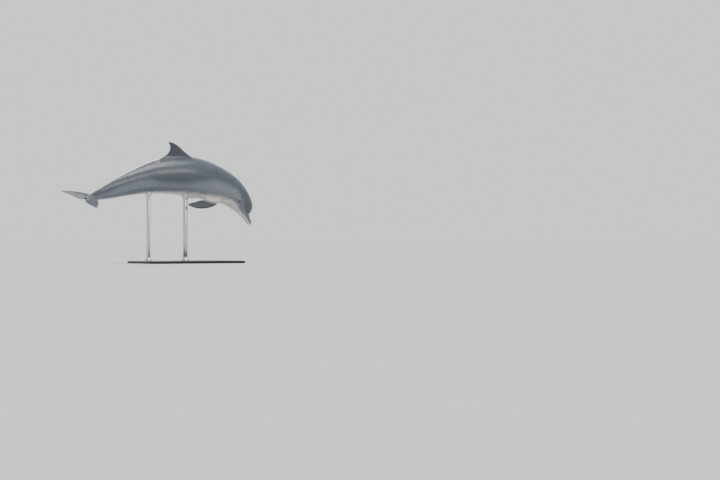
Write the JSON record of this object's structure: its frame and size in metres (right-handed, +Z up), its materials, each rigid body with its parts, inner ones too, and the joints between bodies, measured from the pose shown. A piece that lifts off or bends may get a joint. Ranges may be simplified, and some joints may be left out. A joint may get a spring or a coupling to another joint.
{
  "type": "bottlenose dolphin model on a display stand",
  "caption": "Life-size bottlenose dolphin leaping nose down, held by two steel rods on a flat rounded display base.",
  "frame": {"origin": "centre of the display base's underside, on the floor under the dolphin's centre of mass", "axes": "+X the way the dolphin heads, along its length; +Y to its left; +Z up"},
  "size_m": [2.5058, 0.75, 1.4597],
  "materials": {
    "skin": "smooth wet skin: dark slate back, grey flanks, pale belly",
    "eye": "dark glossy eye",
    "stand_lacquer": "black satin lacquer",
    "stand_metal": "brushed steel"
  },
  "bodies": {
    "root": {"upper_beak": "skin", "lower_jaw": "skin", "head": "skin", "neck": "skin", "chest": "skin", "trunk": "skin", "rump": "skin", "tail_stock": "skin", "dorsal_fin": "skin", "flipper_left": "skin", "flipper_right": "skin", "fluke_left": "skin", "fluke_right": "skin", "eye_left": "eye", "eye_right": "eye", "stand_base": "stand_lacquer", "stand_socket_front": "stand_metal", "stand_socket_rear": "stand_metal", "stand_rod_front": "stand_metal", "stand_rod_rear": "stand_metal", "stand_cup_front": "stand_metal", "stand_cup_rear": "stand_metal"}
  },
  "joints": []
}
